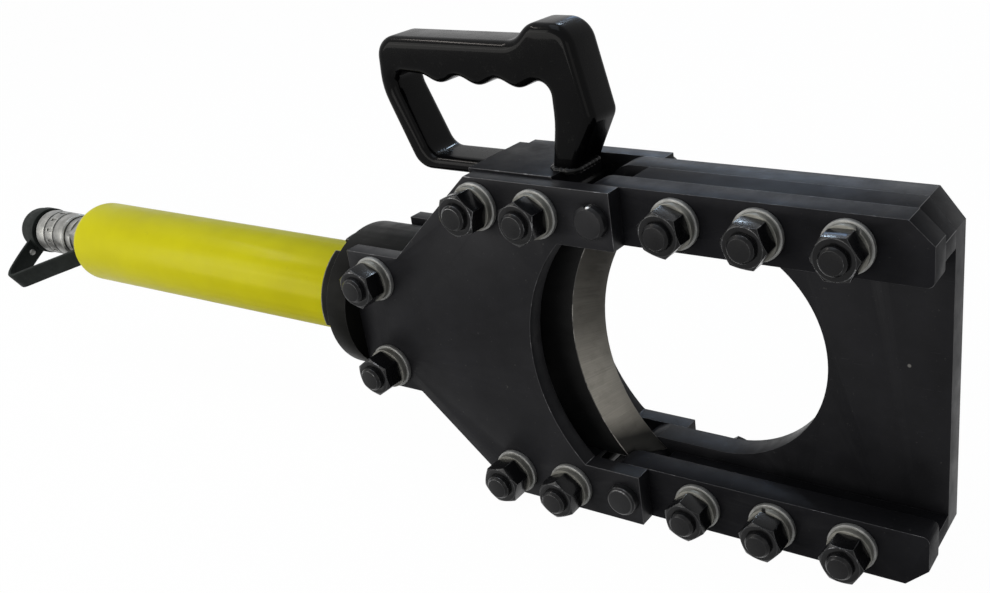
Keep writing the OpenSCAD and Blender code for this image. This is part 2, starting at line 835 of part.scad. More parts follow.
// Coupler
module hex_bar(x0, x1, af) {
    translate([x0, 0, 0]) rotate([0, 90, 0]) cylinder(h = x1 - x0, r = af / sqrt(3), $fn = 6);
}

module nipple() {
    color([0.7, 0.7, 0.68]) place() difference() {
        union() {
            bar(barrel_left_x, barrel_left_x + port_depth, port_d);
            hex_bar(hex_left_x, barrel_left_x, nipple_af);
            bar(body_right_x, hex_left_x, nipple_neck_d);
            bar(body_right_x - 12, body_right_x, port_d);
        }
        bar(body_right_x - 12 - eps, barrel_left_x + port_depth + eps, 8);
    }
}

module coupler_body() {
    flange_x = body_right_x - body_hex_len - flange_len;
    color([0.72, 0.72, 0.7]) place() difference() {
        union() {
            hex_bar(body_right_x - body_hex_len, body_right_x, 30);
            bar(flange_x, body_right_x - body_hex_len, flange_d);
            bar(land_x, flange_x, shank_d);
            bar(nose_left_x, land_x, nose_d);
        }
        bar(nose_left_x - eps, lip_x, socket_d);
        bar(lip_x - eps, lip_x + lip_len + eps, lip_d);
        bar(lip_x + lip_len, valve_end_x, valve_d);
        bar(valve_end_x - eps, body_right_x, 8);
        bar(body_right_x - 13, body_right_x + eps, port_d + 2 * seat_fit);
        tube(snap_x, snap_x + snap_t, nose_d + 2, nose_d - 2.4);
        ball_ring() translate([0, 0, socket_d / 2 - 1]) cylinder(h = nose_d, r = ball_r + run_fit);
    }
}

module ball_ring() {
    for (i = [0:ball_count - 1]) translate([ball_x, 0, 0]) rotate([360 * i / ball_count, 0, 0]) children();
}

module locking_balls() {
    color([0.8, 0.8, 0.8]) place() ball_ring() translate([0, 0, nose_d / 2 - ball_r - 0.15]) sphere(r = ball_r, $fn = 48);
}

module coupler_sleeve() {
    groove_w = 2.4;
    groove_depth = 1.1;
    notch_count = 12;
    bands = [0.3, 0.62];
    color([0.72, 0.72, 0.7]) place() difference() {
        union() {
            axial(sleeve_left_x, sleeve_left_x + 1.2, sleeve_d - 2.4, sleeve_d);
            bar(sleeve_left_x + 1.2, sleeve_right_x - 1.2, sleeve_d);
            axial(sleeve_right_x - 1.2, sleeve_right_x, sleeve_d, sleeve_d - 2.4);
        }
        bar(sleeve_left_x - eps, land_x, nose_d + 0.2);
        bar(land_x, sleeve_right_x + eps, flange_d + 0.6);
        for (b = bands) tube(
            sleeve_left_x + b * sleeve_len, sleeve_left_x + b * sleeve_len + groove_w,
            sleeve_d + 2, sleeve_d - 2 * groove_depth
        );
        for (i = [0:notch_count - 1]) rotate([360 * i / notch_count, 0, 0])
            translate([sleeve_left_x + 0.42 * sleeve_len, -1.2, sleeve_d / 2 - groove_depth])
                cube([0.16 * sleeve_len, 2.4, 2 * groove_depth]);
    }
}

module sleeve_spring() {
    color([0.6, 0.6, 0.6]) place()
        coil(land_x, sleeve_spring_len, sleeve_spring_r, sleeve_spring_wire, sleeve_spring_turns);
}

module sleeve_snap_ring() {
    color([0.5, 0.5, 0.5]) place() difference() {
        tube(snap_x, snap_x + snap_t, nose_d + 3, nose_d - 2.4 + 2 * seat_fit);
        translate([snap_x - eps, -1.5, 0]) cube([snap_t + 2 * eps, 3, nose_d]);
    }
}

module poppet() {
    x0 = lip_x + lip_len;
    color([0.7, 0.65, 0.4]) place() union() {
        bar(x0, x0 + poppet_head_len, valve_d - 2 * poppet_clear);
        bar(x0 + poppet_head_len, x0 + poppet_head_len + poppet_stem_len, poppet_stem_d);
    }
}

module poppet_spring() {
    color([0.6, 0.6, 0.6]) place()
        coil(poppet_right_x, poppet_spring_len, (poppet_stem_d + valve_d) / 4, poppet_spring_wire, poppet_spring_turns);
}

module dust_cap() {
    round_r = 5;
    rim_len = 9;
    r = cap_d / 2 - 1;
    color([0.04, 0.04, 0.04]) place() difference() {
        union() {
            translate([cap_left_x, 0, 0]) rotate([0, 90, 0]) rotate_extrude() union() {
                square([r - round_r, round_r]);
                translate([0, round_r]) square([r, cap_len - round_r]);
                translate([r - round_r, round_r]) circle(r = round_r);
            }
            bar(cap_right_x - rim_len, cap_right_x, cap_d);
        }
        bar(nose_left_x - 1, cap_right_x + eps, nose_d + 2 * cap_fit);
    }
}

// Strap from the cap's rim out to a bend and back to a tabbed ring on the nipple, in one tilted plane
function tangent(p, c, r, side) =
    let (d = c - p, a = atan2(d[1], d[0]) + side * asin(r / norm(d)))
    p + sqrt(d * d - r * r) * [cos(a), sin(a)];

module strap_run(p, q) {
    d = q - p;
    translate(p) rotate(atan2(d[1], d[0])) translate([0, -strap_t / 2]) square([norm(d), strap_t]);
}

module cap_strap() {
    top = tangent(strap_root, strap_bend, strap_bend_r, -1);
    low = tangent(strap_foot, strap_bend, strap_bend_r, 1);
    arc_from = atan2(top[1] - strap_bend[1], top[0] - strap_bend[0]);
    arc_to = atan2(low[1] - strap_bend[1], low[0] - strap_bend[0]);
    arc_end = arc_to < arc_from ? arc_to + 360 : arc_to;
    steps = 16;
    arc = [
        for (i = [0:steps])
            let (a = arc_from - 2 + (arc_end - arc_from + 4) * i / steps)
            [cos(a), sin(a)]
    ];
    r_out = strap_bend_r + strap_t / 2;
    r_in = strap_bend_r - strap_t / 2;
    color([0.05, 0.05, 0.05]) place() rotate([-strap_tilt, 0, 0]) difference() {
        union() {
            slab(-strap_w / 2, strap_w) union() {
                strap_run(strap_root, top);
                strap_run(low, strap_foot);
                translate([strap_ring_x, strap_foot[1] - 1.5]) square([strap_ring_t, 7]);
                polygon(concat(
                    [for (v = arc) strap_bend + r_out * v],
                    [for (i = [steps:-1:0]) strap_bend + r_in * arc[i]]
                ));
            }
            bar(strap_ring_x, strap_ring_x + strap_ring_t, nipple_neck_d + 15);
        }
        bar(cap_left_x - 1, cap_right_x + 1, cap_d + 2 * strap_seat_fit);
        bar(strap_ring_x - 30, hex_left_x, nipple_neck_d + 2 * strap_loose);
    }
}

front_fork_plate();
back_fork_plate();
top_fork_spacer();
bottom_fork_spacer();
fixed_blade();
top_front_rail();
bottom_front_rail();
top_groove_strip();
bottom_groove_strip();
moving_blade();
latch_pin();
detent_ball();
hinge_pin();
hinge_pin_ring();
fork_bolts();
frame_bolts();
flat_washers();
spring_washers();
hex_nuts();
neck_block();
lock_collar();
barrel();
barrel_oring();
rod_bush();
rod_wiper();
piston();
piston_seal();
backup_ring();
piston_rod();
coupling_pin();
return_spring();
handle();
nipple();
coupler_body();
coupler_sleeve();
sleeve_spring();
sleeve_snap_ring();
locking_balls();
poppet();
poppet_spring();
dust_cap();
cap_strap();
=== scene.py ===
import json
import math
import random

import bmesh
import bpy
from mathutils import Matrix, Vector

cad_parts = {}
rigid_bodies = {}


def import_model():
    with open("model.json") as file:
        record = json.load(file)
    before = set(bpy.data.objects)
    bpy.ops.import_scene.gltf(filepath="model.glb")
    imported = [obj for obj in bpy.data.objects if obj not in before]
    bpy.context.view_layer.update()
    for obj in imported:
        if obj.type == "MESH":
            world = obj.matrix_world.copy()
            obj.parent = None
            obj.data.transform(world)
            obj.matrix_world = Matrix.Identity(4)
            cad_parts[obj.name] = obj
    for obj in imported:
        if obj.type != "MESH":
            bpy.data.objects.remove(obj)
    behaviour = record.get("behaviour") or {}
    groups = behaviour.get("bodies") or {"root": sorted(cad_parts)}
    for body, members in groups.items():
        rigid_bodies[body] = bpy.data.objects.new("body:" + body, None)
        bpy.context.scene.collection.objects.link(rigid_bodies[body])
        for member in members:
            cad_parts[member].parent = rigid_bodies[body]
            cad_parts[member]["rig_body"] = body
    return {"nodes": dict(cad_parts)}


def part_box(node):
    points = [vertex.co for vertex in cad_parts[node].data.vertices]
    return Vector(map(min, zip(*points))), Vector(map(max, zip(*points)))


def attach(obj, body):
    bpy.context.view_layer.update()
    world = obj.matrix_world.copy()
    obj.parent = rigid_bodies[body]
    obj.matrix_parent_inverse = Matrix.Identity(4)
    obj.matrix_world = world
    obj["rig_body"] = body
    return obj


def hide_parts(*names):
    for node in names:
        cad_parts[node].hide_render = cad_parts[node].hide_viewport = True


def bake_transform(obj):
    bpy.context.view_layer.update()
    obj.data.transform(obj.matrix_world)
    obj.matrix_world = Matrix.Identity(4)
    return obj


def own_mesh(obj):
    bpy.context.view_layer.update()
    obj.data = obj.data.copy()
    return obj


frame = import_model()
random.seed(7)
scene = bpy.context.scene

# The source's own axes: x from the pins, y from the cylinder's axis, z from the cylinder's axis, in mm
hinge_box, barrel_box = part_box("hinge_pin"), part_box("barrel")
ORIGIN = Vector(((hinge_box[0][0] + hinge_box[1][0]) / 2, (barrel_box[0][1] + barrel_box[1][1]) / 2,
                 (barrel_box[0][2] + barrel_box[1][2]) / 2))


def P(x, y, z):
    """A point on the source's axes in mm, as a point of the frame in metres."""
    return Vector((x / 1000, y / 1000, z / 1000)) + ORIGIN


# Camera, as solved from the photograph together with the sizes
PHOTO_WIDTH_PX = 990
FOCAL_PX = 1136.614
CENTRE_PX = 671.436
SENSOR_MM = 36
CAMERA_AT = (341.66, -523.11, 315.51)
cam_data = bpy.data.cameras.new("camera")
cam = bpy.data.objects.new("camera", cam_data)
scene.collection.objects.link(cam)
scene.camera = cam
# Right, down and ahead as the camera sees them
right = Vector((0.870531, 0.485785, -0.078663))
down = Vector((0.142228, -0.401388, -0.904798))
ahead = Vector((-0.471112, 0.776467, -0.418513))
turn = Matrix((right, -down, -ahead)).transposed().to_4x4()
cam.matrix_world = Matrix.Translation(P(*CAMERA_AT)) @ turn
cam_data.sensor_width = SENSOR_MM
cam_data.lens = SENSOR_MM * FOCAL_PX / PHOTO_WIDTH_PX
cam_data.shift_x = -(CENTRE_PX - PHOTO_WIDTH_PX / 2) / PHOTO_WIDTH_PX
cam_data.clip_start = 0.01
cam_data.clip_end = 60


# Materials
class Nodes:
    """A material's node tree with short helpers."""

    def __init__(self, name):
        self.mat = bpy.data.materials.new(name)
        self.mat.use_nodes = True
        self.t = self.mat.node_tree
        self.t.nodes.clear()
        self.out = self.t.nodes.new("ShaderNodeOutputMaterial")
        self.bsdf = self.t.nodes.new("ShaderNodeBsdfPrincipled")
        self.t.links.new(self.bsdf.outputs[0], self.out.inputs[0])
        self.coord = self.t.nodes.new("ShaderNodeTexCoord").outputs["Object"]

    def link(self, a, b):
        self.t.links.new(a, b)

    def mapped(self, scale, vector):
        n = self.t.nodes.new("ShaderNodeMapping")
        n.inputs["Scale"].default_value = scale
        self.link(vector, n.inputs["Vector"])
        return n.outputs[0]

    def noise(self, scale, detail=3, rough=0.5, vector=None, stretch=None):
        n = self.t.nodes.new("ShaderNodeTexNoise")
        n.inputs["Scale"].default_value = scale
        n.inputs["Detail"].default_value = detail
        n.inputs["Roughness"].default_value = rough
        v = vector or self.coord
        if stretch:
            v = self.mapped(stretch, v)
        self.link(v, n.inputs["Vector"])
        return n.outputs["Fac"]

    def remap(self, value, a, b, c, d):
        n = self.t.nodes.new("ShaderNodeMapRange")
        n.inputs["From Min"].default_value = a
        n.inputs["From Max"].default_value = b
        n.inputs["To Min"].default_value = c
        n.inputs["To Max"].default_value = d
        self.link(value, n.inputs["Value"])
        return n.outputs["Result"]

    def math(self, op, a, b=None, clamp=False):
        n = self.t.nodes.new("ShaderNodeMath")
        n.operation = op
        n.use_clamp = clamp
        for i, v in enumerate((a, b)):
            if v is None:
                continue
            if isinstance(v, (int, float)):
                n.inputs[i].default_value = v
            else:
                self.link(v, n.inputs[i])
        return n.outputs[0]

    def mix(self, fac, a, b):
        n = self.t.nodes.new("ShaderNodeMix")
        n.data_type = "RGBA"
        self.link(fac, n.inputs[0])
        for i, v in ((6, a), (7, b)):
            if isinstance(v, tuple):
                n.inputs[i].default_value = (*v[:3], 1)
            else:
                self.link(v, n.inputs[i])
        return n.outputs[2]

    def bump(self, height, strength, distance, normal=None):
        n = self.t.nodes.new("ShaderNodeBump")
        n.inputs["Strength"].default_value = strength
        n.inputs["Distance"].default_value = distance
        self.link(height, n.inputs["Height"])
        if normal is not None:
            self.link(normal, n.inputs["Normal"])
        return n.outputs["Normal"]

    def set(self, name, value):
        s = self.bsdf.inputs[name]
        if isinstance(value, (int, float)):
            s.default_value = value
        elif isinstance(value, tuple):
            s.default_value = (*value[:3], 1)
        else:
            self.link(value, s)


DUST = (0.30, 0.29, 0.27)
SCRATCH = (0.20, 0.20, 0.21)
PLATE_SCRATCH, PLATE_SPECK = (0.13, 0.13, 0.135), (0.11, 0.108, 0.10)


def scaled(c, k):
    """The colour c, k times as bright."""
    return tuple(min(1.0, v * k) for v in c)


def surface(name, color, metallic, rough, vary, rough_vary, grain=0.00006, grain_scale=900, blotch=28,
            coat=0.0, coat_rough=0.1, scratches=0.0, dust=0.0, specular=0.5):
    """A finish with blotches in colour and roughness, a fine grain, hairline scratches and dust."""
    n = Nodes(name)
    big = n.noise(blotch, 4, 0.6)
    fine = n.noise(grain_scale, 2, 0.6)
    tone = n.mix(n.remap(big, 0.3, 0.7, 0, 1), scaled(color, 1 - vary), scaled(color, 1 + vary))
    if dust > 0:
        speck = n.remap(n.noise(260, 5, 0.75), 0.60, 0.72, 0, dust)
        tone = n.mix(speck, tone, DUST)
    if scratches > 0:
        lines = n.noise(1, 5, 0.7, stretch=(60, 60, 1400))
        cross = n.noise(1, 5, 0.7, stretch=(1500, 70, 50))
        hair = n.math("MAXIMUM", n.remap(lines, 0.66, 0.72, 0, 1), n.remap(cross, 0.67, 0.73, 0, 1))
        patch = n.remap(n.noise(14, 3, 0.5), 0.45, 0.65, 0, scratches)
        mark = n.math("MULTIPLY", hair, patch, True)
        tone = n.mix(mark, tone, SCRATCH)
    n.set("Base Color", tone)
    n.set("Metallic", metallic)
    n.set("Specular IOR Level", specular)
    uneven = n.noise(blotch * 2.3, 5, 0.65)
    n.set("Roughness", n.remap(uneven, 0.3, 0.7, rough - rough_vary, rough + rough_vary))
    n.set("Normal", n.bump(fine, 0.35, grain))
    if coat > 0:
        n.set("Coat Weight", coat)
        n.set("Coat Roughness", coat_rough)
    return n.mat


def edge_finish(name, dark, bright, share, rough=0.34, metallic=0.85):
    """A bevelled edge where the dark finish is rubbed through to the steel in places."""
    n = Nodes(name)
    worn = n.remap(n.noise(75, 5, 0.72), 0.62 - share * 0.3, 0.70 - share * 0.2, 0, 1)
    n.set("Base Color", n.mix(worn, dark, bright))
    n.set("Metallic", n.remap(worn, 0, 1, 0.35, metallic))
    n.set("Roughness", n.remap(n.noise(300, 3, 0.6), 0.3, 0.7, rough - 0.08, rough + 0.1))
    n.set("Normal", n.bump(n.noise(1100, 2, 0.6), 0.3, 0.00005))
    return n.mat


def plate_finish(name, color, specular, chip=None):
    """Satin black oxide on rolled plate: waves, rubbed patches, hairlines, specks and a chip if asked."""
    n = Nodes(name)
    big = n.noise(20, 5, 0.62)
    tone = n.mix(n.remap(big, 0.3, 0.7, 0, 1), scaled(color, 0.72), scaled(color, 1.3))
    rub = n.remap(n.noise(1, 6, 0.72, stretch=(36, 36, 90)), 0.58, 0.75, 0, 0.22)
    tone = n.mix(rub, tone, scaled(color, 2.2))
    hair = n.remap(n.noise(1, 4, 0.7, stretch=(50, 50, 1600)), 0.67, 0.73, 0, 0.5)
    patch = n.remap(n.noise(11, 3, 0.5), 0.5, 0.66, 0, 1)
    tone = n.mix(n.math("MULTIPLY", hair, patch, True), tone, PLATE_SCRATCH)
    speck = n.remap(n.noise(330, 4, 0.8), 0.66, 0.74, 0, 0.5)
    tone = n.mix(speck, tone, PLATE_SPECK)
    if chip is not None:
        d = n.t.nodes.new("ShaderNodeVectorMath")
        d.operation = "DISTANCE"
        n.link(n.coord, d.inputs[0])
        d.inputs[1].default_value = chip
        tone = n.mix(n.remap(d.outputs["Value"], 0.0007, 0.0013, 0.5, 0), tone, DUST)
    n.set("Base Color", tone)
    n.set("Metallic", 0.15)
    n.set("Specular IOR Level", specular)
    n.set("Roughness", n.remap(n.noise(46, 5, 0.7), 0.3, 0.7, 0.36, 0.56))
    wave = n.noise(95, 3, 0.5)
    fine = n.noise(1300, 2, 0.6)
    n.set("Normal", n.bump(fine, 0.25, 0.00005, n.bump(wave, 0.25, 0.00025)))
    return n.mat


# The bevel's arc in mm, how far its faces lean, and how close its streaks lie round the arc and outwards
BEVEL_CENTRE_X, BEVEL_R_IN, BEVEL_R_OUT = 79.0, 108, 125
BEVEL_LEAN_MIN, BEVEL_LEAN_MAX = 0.3, 0.95
STREAKS_ROUND, STREAKS_OUT = 190.0, 55.0
# Painted shade on the bevel, darker towards the top, and a painted shadow that makes its lowest end nearly
# black: from and to a height over the cylinder's axis in metres, how strong, and the colour
BEVEL_PAINTED_SHADE = (
    (-0.028, 0.012, 0.72, (0.045, 0.042, 0.036)),
    (0.012, 0.06, 0.7, (0.026, 0.024, 0.021)),
    (-0.058, -0.072, 0.97, (0.006, 0.006, 0.0055)),
)


def bevel_finish(name):
    """Ground bevel: streaks across the edge, with painted shade by height that leaves it bright low down and
    dark towards the top, and a painted shadow at the lowest end.
    """
    n = Nodes(name)
    s = n.t.nodes.new("ShaderNodeSeparateXYZ")
    n.link(n.coord, s.inputs[0])
    x = n.math("SUBTRACT", s.outputs[0], ORIGIN.x + BEVEL_CENTRE_X / 1000)
    z = n.math("SUBTRACT", s.outputs[2], ORIGIN.z)
    angle = n.math("ARCTAN2", z, x)
    radius = n.math("SQRT", n.math("ADD", n.math("MULTIPLY", x, x), n.math("MULTIPLY", z, z)))
    c = n.t.nodes.new("ShaderNodeCombineXYZ")
    n.link(n.math("MULTIPLY", angle, STREAKS_ROUND), c.inputs[0])
    n.link(n.math("MULTIPLY", radius, STREAKS_OUT), c.inputs[1])
    streak = n.noise(1, 4, 0.6, vector=c.outputs[0])
    wide = n.noise(16, 3, 0.5)
    tone = n.mix(n.remap(streak, 0.3, 0.7, 0, 1), (0.225, 0.213, 0.185), (0.32, 0.303, 0.265))
    tone = n.mix(n.remap(wide, 0.42, 0.68, 0, 0.5), tone, (0.11, 0.102, 0.088))
    tone = n.mix(n.remap(n.noise(130, 5, 0.7), 0.5, 0.7, 0, 0.35), tone, (0.13, 0.12, 0.10))
    # Painted shade by height: darker towards the top, and nearly black at the lowest end where a shadow falls
    for start, finish, share, painted_shade in BEVEL_PAINTED_SHADE:
        tone = n.mix(n.remap(s.outputs[2], ORIGIN.z + start, ORIGIN.z + finish, 0, share), tone, painted_shade)
    n.set("Base Color", tone)
    n.set("Specular IOR Level", 0.2)
    n.set("Metallic", 0.5)
    n.set("Roughness", n.remap(streak, 0.3, 0.7, 0.34, 0.58))
    n.set("Normal", n.bump(streak, 0.25, 0.00006))
    return n.mat


def barrel_finish(name):
    """Satin enamel with a thin coat, a slight orange peel and faint specks of dirt all over."""
    n = Nodes(name)
    paint, deep = (0.58, 0.535, 0.002), (0.49, 0.445, 0.002)
    tone = n.mix(n.remap(n.noise(9, 4, 0.6), 0.35, 0.65, 0, 1), deep, paint)
    dirt = n.remap(n.noise(120, 6, 0.75), 0.62, 0.78, 0, 0.30)
    tone = n.mix(dirt, tone, (0.20, 0.17, 0.03))
    n.set("Base Color", tone)
    n.set("Metallic", 0.0)
    n.set("Roughness", n.remap(n.noise(60, 4, 0.6), 0.3, 0.7, 0.30, 0.42))
    n.set("Specular IOR Level", 0.07)
    n.set("Coat Weight", 0.035)
    n.set("Coat Roughness", 0.16)
    peel = n.noise(420, 2, 0.5)
    n.set("Normal", n.bump(peel, 0.22, 0.00012))
    return n.mat


def rubber_finish(name, color):
    """Matt rubber, cloudy in tone, with a fine grain."""
    n = Nodes(name)
    tone = n.mix(n.remap(n.noise(90, 5, 0.7), 0.35, 0.7, 0, 1), scaled(color, 0.8), scaled(color, 1.6))
    n.set("Base Color", tone)
    n.set("Roughness", n.remap(n.noise(140, 4, 0.6), 0.3, 0.7, 0.52, 0.74))
    n.set("Specular IOR Level", 0.12)
    n.set("Normal", n.bump(n.noise(1500, 3, 0.7), 0.5, 0.00008))
    return n.mat


BLACK = (0.0125, 0.0125, 0.0140)
plate = plate_finish("plate_black", BLACK, 0.09)
plate_chip = plate_finish("plate_black_chipped", scaled(BLACK, 0.95), 0.085, tuple(P(167, 9, 10)))
rail_plate = plate_finish("rail_black", scaled(BLACK, 0.95), 0.022)
block_plate = plate_finish("block_black", BLACK, 0.018)
plate_edge = edge_finish("plate_edge", (0.022, 0.022, 0.024), (0.17, 0.17, 0.175), 0.28)
blade_flat = plate_finish("blade_flat", (0.012, 0.012, 0.012), 0.08)
blade_bevel = bevel_finish("blade_bevel")
blade_rim = edge_finish("blade_rim", (0.05, 0.048, 0.043), (0.26, 0.25, 0.23), 0.45, 0.36, 0.6)
neck_mat = surface("neck_phosphate", (0.0045, 0.0045, 0.0040), 0.1, 0.46, 0.3, 0.1, scratches=0.2,
                   specular=0.045)
neck_edge = edge_finish("neck_edge", (0.018, 0.018, 0.016), (0.13, 0.13, 0.12), 0.3)
barrel_mat = barrel_finish("barrel_enamel")
handle_mat = surface("handle_enamel", (0.0018, 0.0018, 0.0020), 0.0, 0.24, 0.3, 0.06, 0.00007, 500, coat=0.10,
                     coat_rough=0.05, dust=0.03, specular=0.02)
weld_mat = surface("weld_bead", (0.007, 0.007, 0.007), 0.0, 0.30, 0.4, 0.1, 0.0002, 700, coat=0.1,
                   specular=0.1)
pin_mat = surface("pin_steel", (0.012, 0.012, 0.013), 0.2, 0.40, 0.35, 0.1, scratches=0.25, specular=0.15)
pin_edge = edge_finish("pin_edge", (0.02, 0.02, 0.021), (0.20, 0.20, 0.205), 0.30)
nut_mat = surface("nut_black", (0.0065, 0.0065, 0.007), 0.1, 0.24, 0.3, 0.08, 0.00006, 1100, coat=0.1,
                  coat_rough=0.12, specular=0.12)
nut_edge = edge_finish("nut_edge", (0.012, 0.012, 0.013), (0.20, 0.20, 0.205), 0.25, 0.24)
bolt_mat = surface("bolt_black", (0.007, 0.007, 0.0075), 0.1, 0.30, 0.3, 0.1, 0.00008, 1200, specular=0.15)
zinc_mat = surface("washer_zinc", (0.25, 0.25, 0.24), 0.5, 0.50, 0.3, 0.1, 0.00005, 900, blotch=120, dust=0.2,
                   specular=0.2)
spring_mat = surface("spring_washer", (0.19, 0.186, 0.165), 0.45, 0.48, 0.35, 0.1, 0.00008, 900, blotch=90,
                     specular=0.25)
coupler_mat = surface("coupler_zinc", (0.235, 0.235, 0.225), 0.8, 0.46, 0.35, 0.1, 0.00005, 1100, blotch=110,
                      dust=0.2, specular=0.3)
coupler_edge = edge_finish("coupler_edge", (0.19, 0.19, 0.185), (0.42, 0.42, 0.41), 0.6, 0.36, 1.0)
cap_mat = rubber_finish("cap_rubber_black", (0.010, 0.0122, 0.0110))
inner_mat = surface("inner_steel", (0.36, 0.36, 0.36), 0.9, 0.34, 0.2, 0.1)
spring_steel = surface("spring_steel", (0.30, 0.30, 0.31), 0.9, 0.30, 0.2, 0.08)
chrome_mat = surface("rod_chrome", (0.60, 0.60, 0.61), 1.0, 0.12, 0.06, 0.04, 0.00001, 1500)
bronze_mat = surface("bronze", (0.52, 0.34, 0.13), 0.9, 0.34, 0.2, 0.1)
seal_mat = rubber_finish("seal_rubber_black", (0.014, 0.014, 0.014))
backup_mat = surface("backup_plastic", (0.74, 0.70, 0.58), 0.0, 0.5, 0.08, 0.08)


def mesh_object(name, bm, *mats, sharp=None):
    """An object from a bmesh, whose edges stay sharp above an angle in degrees when one is given."""
    me = bpy.data.meshes.new(name)
    bm.to_mesh(me)
    bm.free()
    if sharp is not None:
        me.set_sharp_from_angle(angle=math.radians(sharp))
    for m in mats:
        me.materials.append(m)
    o = bpy.data.objects.new(name, me)
    scene.collection.objects.link(o)
    return o


# Pieces taken from the frame's own shapes
def paint(node, mat):
    """A finish on a CAD node that is shown as it is."""
    for s in frame["nodes"][node].material_slots:
        s.material = mat


def body_name(node):
    """The body that a CAD node belongs to."""
    return frame["nodes"][node]["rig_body"]


MERGE_M, FLAT_DEG = 2e-6, 0.4


def edged(node, mats, width, segments=2, limit=28, pick=None):
    """Stands for a CAD node with the same shape, whose edges are rounded and take the second finish.

    width is in metres, and limit is the least angle in degrees at which an edge is rounded.
    """
    bm = bmesh.new()
    bm.from_mesh(frame["nodes"][node].data)
    bmesh.ops.remove_doubles(bm, verts=bm.verts, dist=MERGE_M)
    bmesh.ops.dissolve_limit(bm, angle_limit=math.radians(FLAT_DEG), use_dissolve_boundaries=False,
                             verts=bm.verts, edges=bm.edges, delimit=set())
    bm.normal_update()
    for f in bm.faces:
        f.smooth = True
        f.material_index = pick(f) if pick else 0
    o = mesh_object("look_" + node, bm, *mats)
    b = o.modifiers.new("edges", "BEVEL")
    b.width = width
    b.segments = segments
    b.limit_method = "ANGLE"
    b.angle_limit = math.radians(limit)
    b.use_clamp_overlap = True
    b.harden_normals = True
    b.miter_outer = "MITER_ARC"
    b.material = 1
    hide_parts(node)
    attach(o, body_name(node))


for name in ("front_fork_plate", "back_fork_plate"):
    edged(name, (plate, plate_edge), 0.0007)
for name in ("top_front_rail", "bottom_front_rail"):
    edged(name, (rail_plate, plate_edge), 0.0007)
edged("fixed_blade", (plate_chip, plate_edge), 0.0007)
for name in ("top_groove_strip", "bottom_groove_strip", "top_fork_spacer", "bottom_fork_spacer"):
    edged(name, (block_plate, plate_edge), 0.0005)


def blade_pick(f):
    """The slot of a face of the moving blade: 2 on the bevel, 0 elsewhere."""
    c = (f.calc_center_median() - P(BEVEL_CENTRE_X, 0, 0)) * 1000
    r = math.hypot(c.x, c.z)
    leans = BEVEL_LEAN_MIN < abs(f.normal.y) < BEVEL_LEAN_MAX
    return 2 if BEVEL_R_IN < r < BEVEL_R_OUT and leans and c.x < 0 else 0


edged("moving_blade", (blade_flat, blade_rim, blade_bevel), 0.0003, pick=blade_pick)
edged("neck_block", (neck_mat, neck_edge), 0.0008)
edged("lock_collar", (neck_mat, neck_edge), 0.0008)
for name in ("latch_pin", "hinge_pin"):
    edged(name, (pin_mat, pin_edge), 0.0005, limit=20)
edged("hinge_pin_ring", (pin_mat, pin_edge), 0.0002)
for name in ("fork_bolts", "frame_bolts"):
    edged(name, (bolt_mat, nut_edge), 0.0004, limit=20)
edged("hex_nuts", (nut_mat, nut_edge), 0.0004, limit=20)
edged("flat_washers", (zinc_mat, zinc_mat), 0.0004)
edged("spring_washers", (spring_mat, spring_mat), 0.0004)
edged("nipple", (coupler_mat, coupler_edge), 0.0005, limit=25)
edged("coupler_body", (coupler_mat, coupler_edge), 0.0005, limit=25)
edged("coupler_sleeve", (coupler_mat, coupler_edge), 0.0004, limit=25)
edged("dust_cap", (cap_mat, cap_mat), 0.0010, segments=3)
edged("barrel", (barrel_mat, barrel_mat), 0.0004)

for name in ("detent_ball", "piston", "coupling_pin", "sleeve_snap_ring", "locking_balls"):
    paint(name, inner_mat)


def sprung(node):
    """Stands for a coil spring with the same shape, smooth and in spring steel, riding with the tool.
    """
    bm = bmesh.new()
    bm.from_mesh(frame["nodes"][node].data)
    for f in bm.faces:
        f.smooth = True
    o = mesh_object("look_" + node, bm, spring_steel, sharp=50)
    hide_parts(node)
    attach(o, "tool")
    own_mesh(o)


sprung("return_spring")
sprung("sleeve_spring")
sprung("poppet_spring")
for name in ("barrel_oring", "rod_wiper", "piston_seal"):
    paint(name, seal_mat)
for name in ("rod_bush", "poppet"):
    paint(name, bronze_mat)
paint("backup_ring", backup_mat)
paint("piston_rod", chrome_mat)


# Handle
ARC_STEP = 7  # degrees


def corner_arc(p, q, s, r):
    """Points on the arc of radius r that rounds the corner q between p and s."""
    a, b = (p - q).normalized(), (s - q).normalized()
    half = math.acos(max(-1, min(1, a.dot(b)))) / 2
    run = r / math.tan(half)
    centre = q + (a + b).normalized() * (r / math.sin(half))
    start, finish = q + a * run - centre, q + b * run - centre
    sign = 1 if start.x * finish.y - start.y * finish.x > 0 else -1
    whole = sign * (math.pi - 2 * half)
    count = max(2, math.ceil(abs(whole) / math.radians(ARC_STEP)))
    out = []
    for i in range(count + 1):
        t = whole * i / count
        out.append(centre + Vector((start.x * math.cos(t) - start.y * math.sin(t),
                                    start.x * math.sin(t) + start.y * math.cos(t))))
    return out


def rounded(corners):
    """The closed outline through corners given as x, z and radius."""
    out = []
    n = len(corners)
    for i, (x, z, r) in enumerate(corners):
        q = Vector((x, z))
        p = Vector(corners[i - 1][:2])
        s = Vector(corners[(i + 1) % n][:2])
        out += corner_arc(p, q, s, r) if r > 0 else [q]
    return out


def edge_share(z):
    """The lower bar is thin, so its edges are rounded less than the loop's."""
    t = min(1.0, max(0.0, (z - TOP) / EDGE_RISE))
    return (BAR_EDGE + (EDGE - BAR_EDGE) * t) / EDGE


def seated(p, q):
    """True along the foot of the leg and the end of the bar, which are welded down."""
    return (p.y == TOP and q.y == TOP and q.x < p.x) or (p.x == BLOCK_X and q.x == BLOCK_X)


